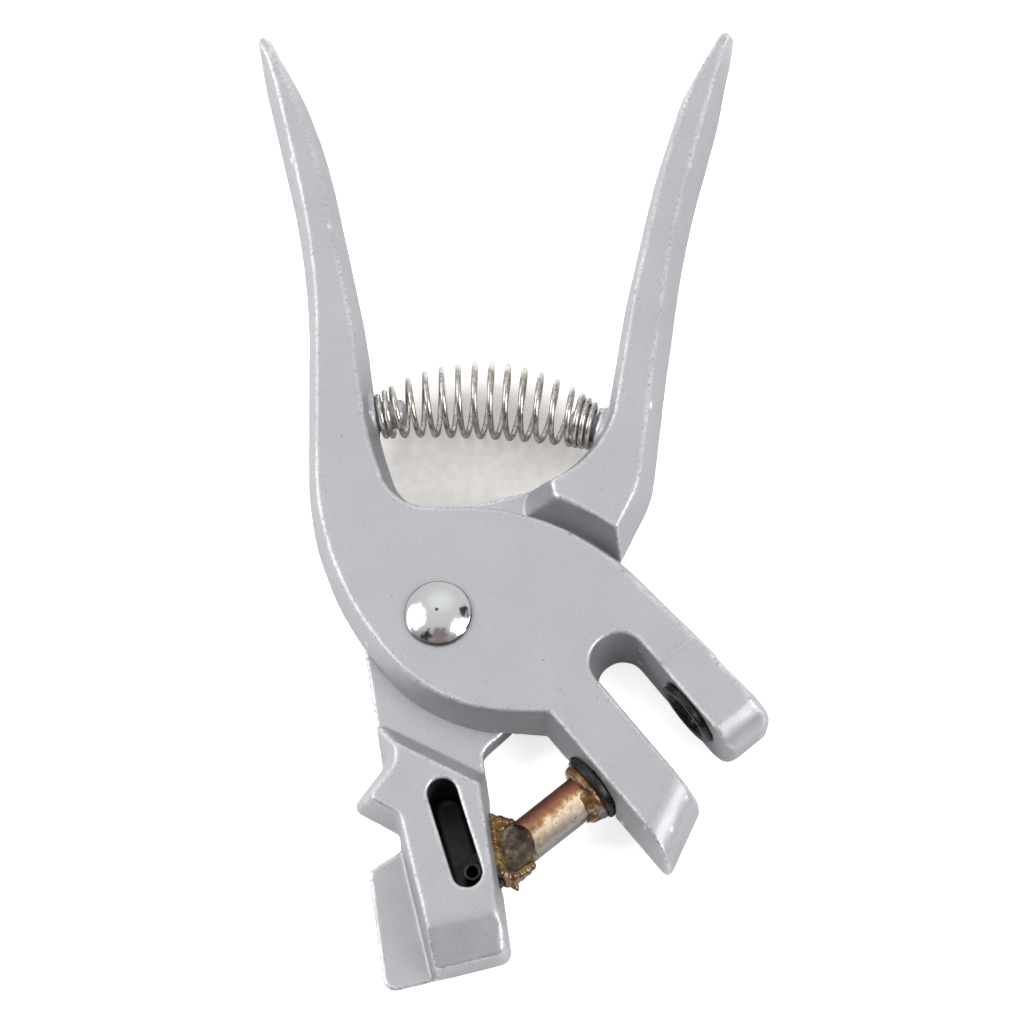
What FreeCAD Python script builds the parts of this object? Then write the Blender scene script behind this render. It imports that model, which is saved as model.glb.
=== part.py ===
import FreeCAD, Part
import math
import os
from FreeCAD import Vector

# Ear notcher lying flat. The origin is on the pivot axis, in the plane that the tool rests on.
# X points right and Y towards the handles, seen from the rivet head. All sizes in mm.

# The two cast levers
lever_thick = 20.0
handle_reach = 150.9
handle_foot = 41.6
left_spread = 50.0
right_spread = 66.2
tip_width = 3.0
tip_face_width = 1.8
tip_set_back = 3.2
lap_gap = 0.3
face_round = 0.8
straight_left = 0.4
least_round = 1.2
side_draft_out = 2.7
side_draft_in = 2.4
lap_radius = 31.5
lap_clear = 0.9
rim_radius = 58.0
stop_gap = 0.4
root_slope = 3.3
root_lean = 7.5
end_flat = 2.0
end_room = 12.0

# Pivot rivet and its washer
shank_d = 9.0
shank_clear = 0.05
head_d = 15.4
head_rim = 0.7
head_rise = 2.6
washer_d = 15.0
washer_thick = 1.5
washer_gap = 0.1
washer_side_gap = 0.5
tail_d = 12.0
tail_thick = 1.3

# Punch axis: its angle from +X, and how far it passes from the pivot
punch_angle = 40.0
punch_offset = 52.0
punch_d = 10.0
punch_tip = 17.2
punch_shoulder = -16.8
cup_d = 8.8
cup_depth = 1.6
tongue_thick = 4.4
pin_at = -31.3
pin_d = 4.0
pin_bore = 2.7
pin_low = 3.2
pin_high = 18.2

# Jaw slot for the ear, and the two prongs beside it
slot_at = 24.6
slot_half = 6.2
slot_draft_front = 0.3
slot_draft_back = -0.7
slot_reach = 16.9
inner_wall = 2.3
outer_wall = 44.2
inner_end = 27.4
inner_slant = 8.0
outer_end = 15.0
step_at = -10.7
step_depth = 0.35

# Guide and die bushings
flange_d = 15.8
flange_thick = 2.2
sleeve_d = 13.6
guide_clear = 0.05
guide_face = 1.8
die_face = 29.45
die_clear = 0.4
die_mouth_d = 12.6
die_mouth_depth = 1.2
die_end = 41.5
waste_d = 11.6
spot_clear = 0.3

# Punch carrier: the slot of the cross pin and the pocket of the tongue
carrier_extra = 34.0
end_slope_length = 10.0
end_slope_drop = 4.2
pin_slot_width = 6.8
pin_slot_travel = 19.3
pin_slot_angle = 108.5
pin_slot_floor = 2.4
pin_side_gap = 0.18
pin_end_lift = 0.12
close_angle = 16.0
close_stroke = 14.0
pocket_clear = 0.45

# Return spring and its cast posts
post_d = 6.8
post_length = 6.2
post_round = 1.4
wire_d = 1.2
coil_end_d = 9.4
coil_mid_d = 17.2
barrel_shape = 0.9
half_turns = 34
tight_turns_left = 2.0
tight_turns_right = 3.5
tight_pitch = 1.5
spring_bow = 5.5
coil_tilt = 0.5
seat_left = 0.22
seat_right = 0.19
seat_rise_left = 0.1
seat_rise_right = 1.5
seat_gap = 0.05
seat_edge = 0.6

mid = lever_thick / 2
end_round = mid - end_flat / 2
front_lap = mid + lap_gap / 2
back_lap = mid - lap_gap / 2
axis_dir = Vector(math.cos(math.radians(punch_angle)), math.sin(math.radians(punch_angle)), 0)
jaw_dir = Vector(axis_dir.y, -axis_dir.x, 0)


def jaw(s, t):
    """Point s along the punch axis from its foot under the pivot, and t towards the jaw mouth."""
    return axis_dir * s + jaw_dir * (punch_offset + t)


def at_jaw(s, t, radius, draft):
    point = jaw(s, t)
    return (point.x, point.y, radius, draft)


# Outlines at the parting plane, anticlockwise. Each corner has x, y, its radius,
# and the draft of the edge that follows it. A handle's tip is marked instead of drafted.
TIP = "tip"


def left_at(across, along, radius, draft):
    """Corner on the left handle, as shares of its spread and of the way from foot to tip."""
    return (-across * left_spread, handle_foot + along * (handle_reach - handle_foot), radius, draft)


def right_at(across, along, radius, draft):
    """Corner on the right handle, as shares of its spread and of the way from foot to tip."""
    return (across * right_spread, handle_foot + along * (handle_reach - handle_foot), radius, draft)


def carrier_at(x, depth, radius, draft):
    """Corner on the punch carrier, with its depth as a share of the carrier's reach."""
    return (x, -depth * (punch_offset + carrier_extra), radius, draft)


slot_left = slot_at - slot_half
slot_right = slot_at + slot_half
slot_floor = -slot_reach - slot_half


def front_outline(slot_draft):
    """Outline of the front lever: left handle, lower rim, prongs, upper rim."""
    rim = [
        left_tip_out,
        left_at(0.957, 0.885, 100.0, side_draft_out),
        left_at(0.758, 0.539, 200.0, side_draft_out),
        left_at(0.688, 0.344, 170.0, side_draft_out),
        (-31.6, 10.4, 78.0, side_draft_out),
        (-1.0, -25.8, 41.0, side_draft_out),
    ]
    prongs = [
        at_jaw(inner_wall, -16.5, 0.8, side_draft_out),
        at_jaw(inner_wall, inner_end, 1.0, 0.6),
        at_jaw(slot_left, inner_end - inner_slant, 2.0, slot_draft),
        at_jaw(slot_left, slot_floor, slot_half - straight_left / 2, slot_draft),
        at_jaw(slot_right, slot_floor, slot_half - straight_left / 2, slot_draft),
        at_jaw(slot_right, outer_end, 3.0, 0.3),
        at_jaw(outer_wall, outer_end, 4.6, side_draft_out),
        prong_root,
    ]
    handle = [
        rim_corner,
        rim_left,
        left_seat_low,
        left_seat_high,
        left_at(0.62, 0.691, 150.0, side_draft_in),
        left_at(0.748, 0.84, 60.0, side_draft_in),
        left_tip_in,
    ]
    return rim + prongs + handle


left_tip_out = left_at(1.0, 0.996, 0, side_draft_out)
left_tip_in = left_at(1.0 - tip_width / left_spread, 1.0, 0, TIP)
left_seat_low = left_at(0.326, 0.045, 60.0, side_draft_in)
left_seat_high = left_at(0.404, 0.278, 150.0, side_draft_in)
right_seat_low = right_at(0.538, 0.0, 26.0, 3.4)
right_seat_high = right_at(0.618, 0.351, 150.0, side_draft_in)
prong_root = (70.5, -13.95, 60.0, side_draft_out)
rim_corner = (28.3, 29.0, rim_radius, side_draft_out)
rim_left = (-10.2, 28.6, 10.0, side_draft_in)
plate_shoulder = (30.0, -1.5, 10.0, side_draft_out)
root_hip = (40.4, 14.6, 0, side_draft_out)
root_knee = (48.0, 31.0, 25.0, side_draft_out)
right_tip_out = right_at(1.0, 0.996, 0, TIP)
right_tip_in = right_at(1.0 - tip_width / right_spread, 1.0, 0, side_draft_in)
right_handle = [
    right_at(0.77, 0.185, 150.0, side_draft_out),
    right_at(0.829, 0.489, 200.0, side_draft_out),
    right_at(0.941, 0.772, 100.0, side_draft_out),
    right_tip_out,
    right_tip_in,
    right_at(0.808, 0.84, 8.0, side_draft_in),
    right_at(0.716, 0.648, 150.0, side_draft_in),
    right_seat_high,
    right_seat_low,
]
handle_outline = [
    (20.0, 22.0, 0, side_draft_out),
    root_hip,
    root_knee,
] + right_handle + [(17.2, handle_foot - 8.9, 6.5, root_lean)]

carrier_left = [
    (-12.6, -34.0, 1.5, 3.9),
    carrier_at(-19.4, 0.507, 2.0, 2.6),
]
carrier_low_left = carrier_at(0.9, 0.966, 1.5, 1.5)
carrier_low_right = carrier_at(18.5, 0.915, 2.5, 1.1)
carrier_outline = [(-14.1, -23.2, 0.8, 3.9)] + carrier_left + [
    carrier_at(-8.2, 0.577, 0.6, 1.5),
    carrier_low_left,
    carrier_low_right,
    (11.1, -35.6, 2.0, 4.0),
]
rear_outline = [
    (10.2, -29.8, 3.0, 1.1),
    (21.5, -19.0, 12.0, side_draft_out),
    plate_shoulder,
    root_hip,
    root_knee,
] + right_handle + [
    (19.9, handle_foot - 7.8, 8.0, side_draft_in),
    (2.0, handle_foot - 12.2, 25.0, side_draft_in),
    (-16.5, 23.0, 12.0, side_draft_in),
    (-20.3, 6.0, 20.0, side_draft_in),
] + carrier_left + [
    carrier_at(-7.8, 0.574, 0.8, 0.6),
    carrier_at(-7.8, 0.617, 1.0, 0.6),
    carrier_at(-15.0, 0.67, 1.8, 0.6),
    carrier_at(-10.2, 1.0, 3.0, side_draft_out),
    carrier_low_right,
]


def flat_point(corner):
    return Vector(corner[0], corner[1], 0)


def line_meeting(before, here, after, draft_in, draft_out):
    """Where the two edges at a corner meet after each has moved inwards by its draft."""
    way_in = Vector(here[0] - before[0], here[1] - before[1], 0).normalize()
    way_out = Vector(after[0] - here[0], after[1] - here[1], 0).normalize()
    shift_in = Vector(-way_in.y, way_in.x, 0) * draft_in
    shift_out = Vector(-way_out.y, way_out.x, 0) * draft_out
    turn = way_in.x * way_out.y - way_in.y * way_out.x
    gap = shift_out - shift_in
    along = (gap.x * way_out.y - gap.y * way_out.x) / turn
    return Vector(here[0], here[1], 0) + shift_in + way_in * along, turn


def tip_corner(here, other, forward):
    """Corner of the narrow front face at a handle's tip, set back from the parting plane's tip."""
    start = Vector(here[0], here[1], 0)
    end = Vector(other[0], other[1], 0)
    centre = (start + end) / 2
    way = (end - start).normalize() * forward
    inward = Vector(-way.y, way.x, 0)
    return centre - way * (forward * tip_face_width / 2) + inward * tip_set_back


def drawn_in(outline):
    """The outline with each edge moved inwards by its own draft, and each tip set back."""
    count = len(outline)
    moved = []
    for i in range(count):
        before = outline[i - 1]
        here = outline[i]
        after = outline[(i + 1) % count]
        if here[3] == TIP:
            point = tip_corner(here, after, 1)
            moved.append((point.x, point.y, 0, here[3]))
        elif before[3] == TIP:
            point = tip_corner(here, before, -1)
            moved.append((point.x, point.y, 0, here[3]))
        else:
            point, turn = line_meeting(before, here, after, before[3], here[3])
            mean_draft = (before[3] + here[3]) / 2
            if here[2] == 0:
                radius = 0
            elif turn > 0:
                radius = max(here[2] - mean_draft, min(here[2], least_round))
            else:
                radius = here[2] + mean_draft
            moved.append((point.x, point.y, radius, here[3]))
    return moved


def corner_reach(outline):
    """How far each corner's arc runs along its two edges. An arc is shortened where they are short."""
    count = len(outline)
    points = [flat_point(corner) for corner in outline]
    reach = []
    for i in range(count):
        to_before = points[i - 1] - points[i]
        to_after = points[(i + 1) % count] - points[i]
        reach.append(outline[i][2] / math.tan(to_before.getAngle(to_after) / 2))
    fit = [1.0] * count
    for i in range(count):
        after = (i + 1) % count
        taken = reach[i] + reach[after]
        room = points[i].distanceToPoint(points[after]) - straight_left
        if taken > room:
            fit[i] = min(fit[i], room / taken)
            fit[after] = min(fit[after], room / taken)
    return [length * share for length, share in zip(reach, fit)]


def outline_wire(outline, z):
    """Closed wire of straight edges with a tangent arc at each rounded corner."""
    count = len(outline)
    points = [flat_point(corner) + Vector(0, 0, z) for corner in outline]
    reach = corner_reach(outline)
    corners = []
    for i in range(count):
        to_before = (points[i - 1] - points[i]).normalize()
        to_after = (points[(i + 1) % count] - points[i]).normalize()
        half = to_before.getAngle(to_after) / 2
        to_crown = reach[i] * (1 / math.cos(half) - math.tan(half))
        crown = points[i] + (to_before + to_after).normalize() * to_crown
        corners.append((points[i] + to_before * reach[i], crown, points[i] + to_after * reach[i]))
    edges = []
    for i in range(count):
        start, crown, end = corners[i]
        if outline[i][2] > 0:
            edges.append(Part.Arc(start, crown, end).toShape())
        edges.append(Part.LineSegment(end, corners[(i + 1) % count][0]).toShape())
    return Part.Wire(edges)


def cast_half(outline, lap_z, face_z):
    """Half of a casting: drafted from the parting plane to the flat face, with a rounded edge."""
    face_outline = drawn_in(outline)
    wide = outline_wire(outline, lap_z)
    narrow = outline_wire(face_outline, face_z)
    solid = Part.makeLoft([wide, narrow], True, True)
    tips = []
    for i in range(len(face_outline)):
        if face_outline[i][3] == TIP:
            start = Vector(face_outline[i][0], face_outline[i][1], face_z)
            after = face_outline[(i + 1) % len(face_outline)]
            tips.append((start + Vector(after[0], after[1], face_z)) / 2)
    rounded = []
    for face in solid.Faces:
        if face.BoundBox.ZLength < lap_gap and abs(face.BoundBox.Center.z - face_z) < lap_gap:
            for edge in face.OuterWire.Edges:
                if all(tip.distanceToPoint(edge.CenterOfMass) > lap_gap for tip in tips):
                    rounded.append(edge)
    return solid.makeFillet(face_round, rounded)


def end_waste(start, end):
    """What is missing round an end wall, where it rolls over into both flat faces."""
    way = (end - start).normalize()
    outward = Vector(way.y, -way.x, 0)
    width = start.distanceToPoint(end) + 2 * end_room
    kept = Part.makeBox(3 * end_round, width, lever_thick, Vector(-3 * end_round, 0, 0))
    lip = [edge for edge in kept.Edges if edge.BoundBox.XMin > -0.1 and edge.BoundBox.ZLength < 0.1]
    kept = kept.makeFillet(end_round, lip)
    waste = Part.makeBox(2 * end_round, width, lever_thick + 2, Vector(-end_round, 0, -1))
    waste = waste.cut(kept)
    base = start - way * end_room
    waste.Placement = FreeCAD.Placement(base, FreeCAD.Rotation(Vector(1, 0, 0), outward))
    return waste


def rod(centre, direction, diameter, length):
    return Part.makeCylinder(diameter / 2, length, centre, direction)


def axis_rod(start, end, diameter):
    """Cylinder on the punch axis between two distances along it."""
    return rod(jaw(start, 0) + Vector(0, 0, mid), axis_dir, diameter, end - start)


def turned(profile, base, direction):
    """Solid turned about an axis. The profile gives (radius, distance along the axis)."""
    side = Vector(-direction.y, direction.x, 0)
    if side.Length < 0.5:
        side = Vector(1, 0, 0)
    points = [base + direction * along + side * radius for radius, along in profile]
    face = Part.Face(Part.makePolygon(points + [points[0]]))
    return face.revolve(base, direction, 360)


def stadium(start, end, width, low, high):
    """Upright slot-shaped solid round the line from start to end."""
    way = (end - start).normalize()
    side = Vector(-way.y, way.x, 0) * (width / 2)
    cap = way * (width / 2)
    lift = Vector(0, 0, low)
    outline = [
        Part.LineSegment(start - side + lift, end - side + lift).toShape(),
        Part.Arc(end - side + lift, end + cap + lift, end + side + lift).toShape(),
        Part.LineSegment(end + side + lift, start + side + lift).toShape(),
        Part.Arc(start + side + lift, start - cap + lift, start - side + lift).toShape(),
    ]
    return Part.Face(Part.Wire(outline)).extrude(Vector(0, 0, high - low))


def rim_centre():
    """Centre of the large arc along the top of the pivot plate."""
    here = flat_point(rim_corner)
    to_before = (flat_point(prong_root) - here).normalize()
    to_after = (flat_point(rim_left) - here).normalize()
    half = to_before.getAngle(to_after) / 2
    return here + (to_before + to_after).normalize() * (rim_radius / math.sin(half))


def lap_pocket():
    """Space in the back of the front lever where the rear lever's plate and handle root swing."""
    disc = Part.makeCylinder(lap_radius + lap_clear, front_lap + 1, Vector(0, 0, -1))
    side_gap = lap_clear * 1.3
    points = [
        Vector(0, plate_shoulder[1] - side_gap, -1),
        Vector(plate_shoulder[0] + side_gap, plate_shoulder[1] - side_gap, -1),
        Vector(root_hip[0] + side_gap, root_hip[1], -1),
        Vector(root_knee[0] + side_gap, root_knee[1], -1),
        Vector(0, root_knee[1], -1),
    ]
    wedge = Part.Face(Part.makePolygon(points + [points[0]])).extrude(Vector(0, 0, front_lap + 1))
    return disc.fuse(wedge)


def prong_step():
    """Thin layer missing from the face of the outer prong, down to the crease across it."""
    base = jaw(slot_at, outer_end + end_room) + Vector(0, 0, lever_thick - step_depth)
    length = outer_wall + end_room - slot_at
    layer = Part.makeBox(length, outer_end + end_room - step_at, face_round + step_depth)
    layer.Placement = FreeCAD.Placement(base, FreeCAD.Rotation(Vector(1, 0, 0), axis_dir))
    return layer


def wall_point(low, high, share, rise):
    """Point off the inner wall of a handle, at a share of the way up between two corners."""
    way = (flat_point(high) - flat_point(low)).normalize()
    across = Vector(way.y, -way.x, 0)
    if low[0] > 0:
        across = across * -1
    foot = flat_point(low) + (flat_point(high) - flat_point(low)) * share
    return foot + across * (rise + seat_gap + wire_d / 2) + Vector(0, 0, mid)


def spring_axis():
    """Start and end of the spring, and the direction in which it is bowed."""
    start = wall_point(left_seat_low, left_seat_high, seat_left, seat_rise_left)
    end = wall_point(right_seat_low, right_seat_high, seat_right, seat_rise_right)
    way = (end - start).normalize()
    return start, end, way, Vector(-way.y, way.x, 0)


def coil_slope(share):
    """Tilt of a coil at a share of the way along. It is less than that of the bowed axis."""
    start, end, way, out = spring_axis()
    return coil_tilt * math.atan(4 * spring_bow * (1 - 2 * share) / start.distanceToPoint(end))


def seat_frame(at_end):
    """Centre of an end coil, and the direction in which its post stands."""
    start, end, way, out = spring_axis()
    slope = coil_slope(0)
    if at_end:
        return end, out * math.sin(slope) - way * math.cos(slope)
    return start, out * math.sin(slope) + way * math.cos(slope)


def spring_post(at_end):
    """Cast post with a rounded tip, and the round seat of the end coil, sunk into the handle."""
    base, direction = seat_frame(at_end)
    stub = rod(base - direction * 3, direction, post_d, post_length + 3)
    tip = [edge for edge in stub.Edges if (edge.CenterOfMass - base).dot(direction) > post_length - 0.1]
    stub = stub.makeFillet(post_round, tip)
    seat = rod(base - direction * 4, direction, coil_end_d + wire_d, 4 - wire_d / 2 - seat_gap)
    return stub.fuse(seat)


def seat_room(at_end):
    """Room for the end coil where the wall of the handle rises beside its seat."""
    base, direction = seat_frame(at_end)
    foot = base - direction * (wire_d / 2 + seat_gap)
    return rod(foot, direction, coil_end_d + wire_d + 2 * seat_edge, post_length)


def make_front_lever():
    front = cast_half(front_outline(slot_draft_front), front_lap, lever_thick)
    back = cast_half(front_outline(slot_draft_back), front_lap, 0)
    lever = front.fuse(back)
    lever = lever.cut(end_waste(jaw(inner_wall, inner_end), jaw(slot_left, inner_end - inner_slant)))
    lever = lever.cut(end_waste(jaw(slot_right, outer_end), jaw(outer_wall, outer_end)))
    lever = lever.cut(end_waste(flat_point(left_tip_in), flat_point(left_tip_out)))
    lever = lever.cut(prong_step())
    lever = lever.cut(seat_room(False)).fuse(spring_post(False))
    lever = lever.cut(lap_pocket())
    lever = lever.cut(rod(Vector(0, 0, mid), Vector(0, 0, 1), shank_d, lever_thick))
    lever = lever.cut(axis_rod(guide_face - 12, guide_face + flange_thick, flange_d + 2 * spot_clear))
    lever = lever.cut(axis_rod(guide_face, slot_at, sleeve_d))
    lever = lever.cut(axis_rod(slot_at - 3, die_face + flange_thick, flange_d + 2 * spot_clear))
    lever = lever.cut(axis_rod(slot_at, die_end, sleeve_d))
    lever = lever.cut(axis_rod(slot_at, outer_wall + 12, waste_d))
    return lever


def pin_slot():
    """Centres of the top and bottom arcs of the slot in the carrier, when the tool is open."""
    up = Vector(math.cos(math.radians(pin_slot_angle)), math.sin(math.radians(pin_slot_angle)), 0)
    across = Vector(up.y, -up.x, 0)
    play = pin_slot_width / 2 - pin_d / 2 - pin_side_gap
    bottom = jaw(pin_at, 0) - across * play - up * pin_end_lift
    return bottom + up * pin_slot_travel, bottom


def tongue_pocket():
    """Pocket that the tongue swings in, from behind the cross pin out through the right wall."""
    closed_pin = jaw(pin_at + close_stroke, 0)
    turn_back = FreeCAD.Rotation(Vector(0, 0, 1), -close_angle)
    closed_pin = turn_back.multVec(closed_pin)
    open_pin = jaw(pin_at, 0)
    spread = open_pin.distanceToPoint(closed_pin)
    across = (closed_pin - open_pin).normalize()
    outward = Vector(across.y, -across.x, 0)
    width = spread + punch_d + 2 * pocket_clear
    height = tongue_thick + 2 * pocket_clear
    corner = (open_pin + closed_pin) / 2 - across * (width / 2) - outward * (punch_d / 2 + 2 * pocket_clear)
    pocket = Part.makeBox(punch_shoulder - pin_at + punch_d, width, height)
    turn = FreeCAD.Rotation(Vector(1, 0, 0), outward)
    pocket.Placement = FreeCAD.Placement(corner + Vector(0, 0, mid - height / 2), turn)
    return pocket


def end_slope():
    """What is missing above the sloping end of the carrier's face, up to the crease across it."""
    left = flat_point(carrier_low_left)
    right = flat_point(carrier_low_right)
    way = (right - left).normalize()
    outward = Vector(way.y, -way.x, 0)
    crease = left - outward * end_slope_length - way * end_room + Vector(0, 0, lever_thick)
    fall = outward * end_slope_length - Vector(0, 0, end_slope_drop)
    side = [crease, crease + fall * 2, crease + fall * 2 + Vector(0, 0, lever_thick), crease]
    width = left.distanceToPoint(right) + 2 * end_room
    return Part.Face(Part.makePolygon(side)).extrude(way * width)


def make_rear_lever():
    back = cast_half(rear_outline, back_lap, 0)
    handle = cast_half(handle_outline, back_lap, lever_thick)
    centre = rim_centre()
    inner = rim_radius + stop_gap
    rim_room = Part.makeCone(inner, inner + root_slope, mid, centre + Vector(0, 0, mid))
    base_room = Part.makeCylinder(inner, lap_gap, centre + Vector(0, 0, back_lap))
    handle = handle.cut(rim_room).cut(base_room)
    carrier = cast_half(carrier_outline, back_lap, lever_thick).cut(end_slope())
    lever = back.fuse(handle).fuse(carrier)
    lever = lever.cut(end_waste(flat_point(right_tip_out), flat_point(right_tip_in)))
    lever = lever.cut(seat_room(True)).fuse(spring_post(True))
    lever = lever.cut(rod(Vector(0, 0, -1), Vector(0, 0, 1), shank_d + 2 * shank_clear, lever_thick))
    pocket_d = washer_d + 2 * washer_side_gap
    pocket_depth = tail_thick + washer_thick + washer_gap
    lever = lever.cut(rod(Vector(0, 0, -1), Vector(0, 0, 1), pocket_d, pocket_depth + 1))
    top, bottom = pin_slot()
    lever = lever.cut(stadium(top, bottom, pin_slot_width, pin_slot_floor, lever_thick + 1))
    return lever.cut(tongue_pocket())


def make_pivot_rivet():
    """Domed head on the front face, shank through both levers, and the riveted tail."""
    rim = lever_thick + head_rim
    ball = (head_d ** 2 / 4 + head_rise ** 2) / (2 * head_rise)
    dome = Part.makeSphere(ball, Vector(0, 0, rim + head_rise - ball))
    dome = dome.common(rod(Vector(0, 0, lever_thick), Vector(0, 0, 1), head_d, head_rim + head_rise))
    shank = rod(Vector(0, 0, 0), Vector(0, 0, 1), shank_d, lever_thick)
    tail = rod(Vector(0, 0, 0), Vector(0, 0, 1), tail_d, tail_thick)
    return shank.fuse(tail).fuse(dome).removeSplitter()


def make_rivet_washer():
    washer = rod(Vector(0, 0, tail_thick), Vector(0, 0, 1), washer_d, washer_thick)
    return washer.cut(rod(Vector(0, 0, 0), Vector(0, 0, 1), shank_d, lever_thick))


def make_guide_bushing():
    seat = guide_face + flange_thick
    bore = punch_d / 2 + guide_clear
    profile = [
        (bore, guide_face),
        (flange_d / 2, guide_face),
        (flange_d / 2, seat),
        (sleeve_d / 2, seat),
        (sleeve_d / 2, slot_left),
        (bore, slot_left),
    ]
    return turned(profile, jaw(0, 0) + Vector(0, 0, mid), axis_dir)


def make_die_bushing():
    seat = die_face + flange_thick
    bore = punch_d / 2 + die_clear
    profile = [
        (die_mouth_d / 2, die_face),
        (flange_d / 2, die_face),
        (flange_d / 2, seat),
        (sleeve_d / 2, seat),
        (sleeve_d / 2, die_end),
        (bore, die_end),
        (bore, die_face + die_mouth_depth),
    ]
    return turned(profile, jaw(0, 0) + Vector(0, 0, mid), axis_dir)


def make_punch():
    """Round bar, cupped at the cutting end, with two flats milled for the tongue."""
    bar = axis_rod(pin_at - punch_d / 2, punch_tip, punch_d)
    cup = [(0, punch_tip - cup_depth), (cup_d / 2, punch_tip), (0, punch_tip)]
    bar = bar.cut(turned(cup, jaw(0, 0) + Vector(0, 0, mid), axis_dir))
    tail_end = stadium(jaw(pin_at, 0), jaw(punch_tip, 0), punch_d, 0, lever_thick)
    bar = bar.common(tail_end)
    side = Vector(-axis_dir.y, axis_dir.x, 0) * punch_d
    tail_length = punch_shoulder - pin_at + punch_d
    for low in (mid + tongue_thick / 2, mid - tongue_thick / 2 - punch_d):
        flat = Part.makeBox(tail_length, 2 * punch_d, punch_d)
        start = jaw(punch_shoulder - tail_length, 0) - side + Vector(0, 0, low)
        flat.Placement = FreeCAD.Placement(start, FreeCAD.Rotation(Vector(1, 0, 0), axis_dir))
        bar = bar.cut(flat)
    return bar.cut(rod(jaw(pin_at, 0), Vector(0, 0, 1), pin_d, lever_thick))


def make_cross_pin():
    foot = jaw(pin_at, 0) + Vector(0, 0, pin_low)
    pin = rod(foot, Vector(0, 0, 1), pin_d, pin_high - pin_low)
    return pin.cut(rod(foot, Vector(0, 0, 1), pin_bore, lever_thick))


def along_spring(turns):
    """How far along its axis the wire has come after a number of turns."""
    start, end, way, out = spring_axis()
    length = start.distanceToPoint(end)
    left = half_turns / 2 - turns
    open_turns = half_turns / 2 - tight_turns_left - tight_turns_right
    open_length = length - (tight_turns_left + tight_turns_right) * tight_pitch
    if turns < tight_turns_left:
        return turns * tight_pitch
    if left < tight_turns_right:
        return length - left * tight_pitch
    return tight_turns_left * tight_pitch + (turns - tight_turns_left) * open_length / open_turns


def spring_point(turns):
    """Point on the wire's centre line after a number of turns from the left end."""
    start, end, way, out = spring_axis()
    length = start.distanceToPoint(end)
    share = along_spring(turns) / length
    bulge = max(math.sin(math.pi * share), 0)
    radius = (coil_end_d + (coil_mid_d - coil_end_d) * bulge ** barrel_shape) / 2
    slope = coil_slope(share)
    across = out * math.cos(slope) - way * math.sin(slope)
    centre = start + way * (length * share) + out * (4 * spring_bow * share * (1 - share))
    turn = 2 * math.pi * turns
    return centre + across * (radius * math.cos(turn)) + Vector(0, 0, radius * math.sin(turn))


def make_return_spring():
    """Barrel spring on a bowed axis, one arc for each half turn, widest in the middle."""
    arcs = []
    for i in range(half_turns):
        start = spring_point(i / 2)
        crown = spring_point(i / 2 + 0.25)
        end = spring_point(i / 2 + 0.5)
        arcs.append(Part.Arc(start, crown, end))
    first = arcs[0]
    direction = first.tangent(first.FirstParameter)[0]
    section = Part.Wire([Part.Circle(spring_point(0), direction, wire_d / 2).toShape()])
    path = Part.Wire([arc.toShape() for arc in arcs])
    return path.makePipeShell([section], True, False)


def main():
    os.makedirs("parts", exist_ok=True)
    make_front_lever().exportStep("parts/front_lever.step")
    make_rear_lever().exportStep("parts/rear_lever.step")
    make_pivot_rivet().exportStep("parts/pivot_rivet.step")
    make_rivet_washer().exportStep("parts/rivet_washer.step")
    make_guide_bushing().exportStep("parts/guide_bushing.step")
    make_die_bushing().exportStep("parts/die_bushing.step")
    make_punch().exportStep("parts/punch.step")
    make_cross_pin().exportStep("parts/cross_pin.step")
    make_return_spring().exportStep("parts/return_spring.step")


if __name__ == "__main__":
    main()
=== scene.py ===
import math
import bpy
from mathutils import Matrix, Vector


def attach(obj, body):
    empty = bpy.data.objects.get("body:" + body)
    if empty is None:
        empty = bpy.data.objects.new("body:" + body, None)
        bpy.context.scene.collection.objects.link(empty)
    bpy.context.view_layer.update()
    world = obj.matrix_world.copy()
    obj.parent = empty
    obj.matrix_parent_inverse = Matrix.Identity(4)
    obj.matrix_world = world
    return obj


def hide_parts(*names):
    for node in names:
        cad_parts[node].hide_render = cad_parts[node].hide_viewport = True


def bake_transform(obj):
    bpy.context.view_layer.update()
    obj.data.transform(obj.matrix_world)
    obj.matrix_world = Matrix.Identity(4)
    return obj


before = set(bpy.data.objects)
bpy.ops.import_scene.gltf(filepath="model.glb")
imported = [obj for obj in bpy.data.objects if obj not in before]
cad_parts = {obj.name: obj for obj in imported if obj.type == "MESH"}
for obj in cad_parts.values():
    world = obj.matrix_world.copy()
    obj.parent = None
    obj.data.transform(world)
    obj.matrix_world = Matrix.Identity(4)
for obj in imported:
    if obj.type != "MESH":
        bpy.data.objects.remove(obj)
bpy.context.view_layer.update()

bpy.ops.object.select_all(action="DESELECT")


# Front lever: left handle, front half of the lap joint and both prongs in one piece.
# It is cast aluminium, tumbled, so no wall is quite flat and no edge sharp, and the
# roundings are rubbed bright, with a painted highlight on them.
def to_linear(code):
    """sRGB hex colour as linear RGBA."""
    parts = [int(code[i:i + 2], 16) / 255 for i in (1, 3, 5)]
    return [c / 12.92 if c <= 0.04045 else ((c + 0.055) / 1.055) ** 2.4 for c in parts] + [1.0]


def add_node(tree, kind, inputs=None, stops=(), **settings):
    """New shader node with its settings, its colour stops, and inputs given as values or as sockets."""
    node = tree.nodes.new(kind)
    for name, value in settings.items():
        setattr(node, name, value)
    for name, value in (inputs or {}).items():
        if isinstance(value, bpy.types.NodeSocket):
            tree.links.new(value, node.inputs[name])
        else:
            node.inputs[name].default_value = value
    for index, (position, code) in enumerate(stops):
        if index > 1:
            node.color_ramp.elements.new(position)
        node.color_ramp.elements[index].position = position
        node.color_ramp.elements[index].color = to_linear(code)
    return node


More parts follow.
